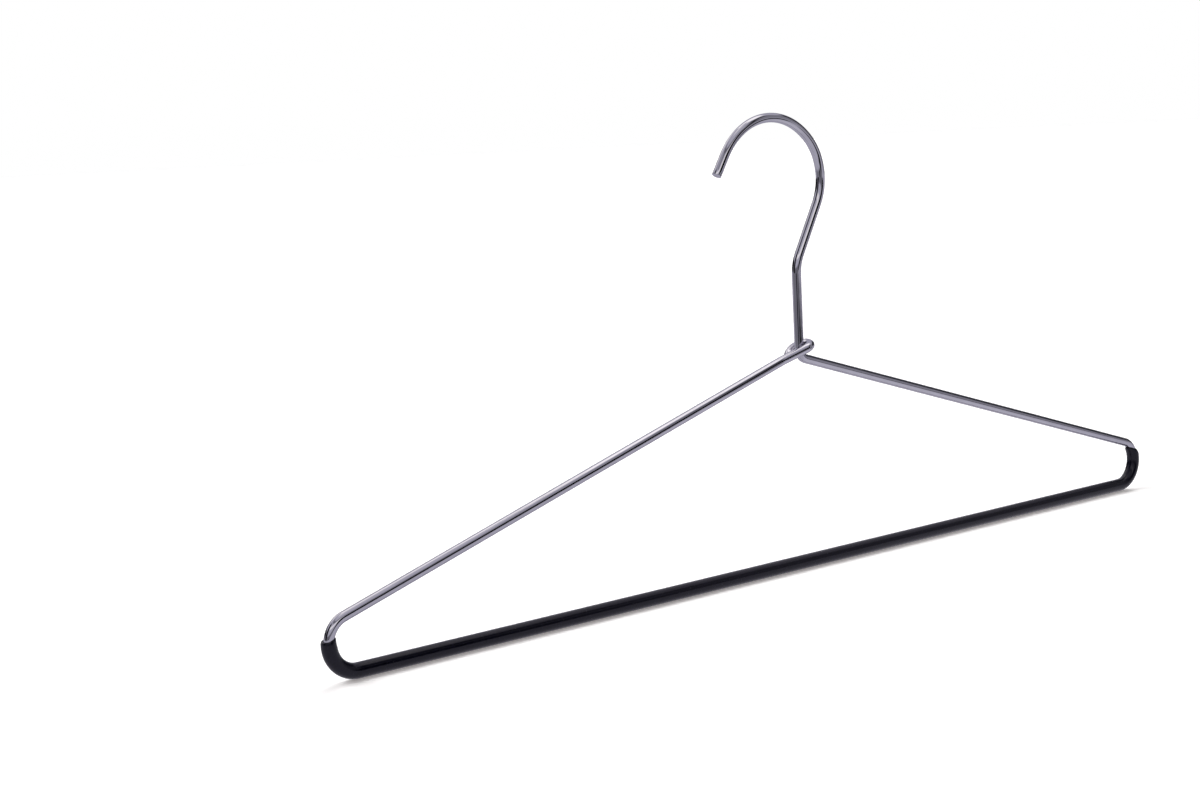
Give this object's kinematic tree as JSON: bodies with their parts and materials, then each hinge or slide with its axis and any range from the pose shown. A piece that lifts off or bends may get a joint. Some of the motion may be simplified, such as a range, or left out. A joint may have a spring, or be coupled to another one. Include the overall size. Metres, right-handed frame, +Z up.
{
  "type": "wire shirt hanger",
  "caption": "Shirt hanger bent from chrome-plated steel wire, with a long open hook, an eye wound round the stem and a black grip sleeve over the straight trouser bar.",
  "frame": {"origin": "the hook's saddle: the highest place inside the hook, where the wire's underside rests on a rail", "axes": "+X along the bar, away from the hook's tip; +Y through the hanger's plane, away from the side on which the left arm passes the stem; +Z up, as the hanger hangs"},
  "size_m": [0.4253, 0.0116, 0.1711],
  "materials": {
    "chrome_plate": "polished chrome plate on steel wire",
    "black_vinyl": "satin black soft PVC tube"
  },
  "bodies": {
    "root": {"hanger_wire": "chrome_plate", "grip_sleeve": "black_vinyl"}
  },
  "joints": []
}
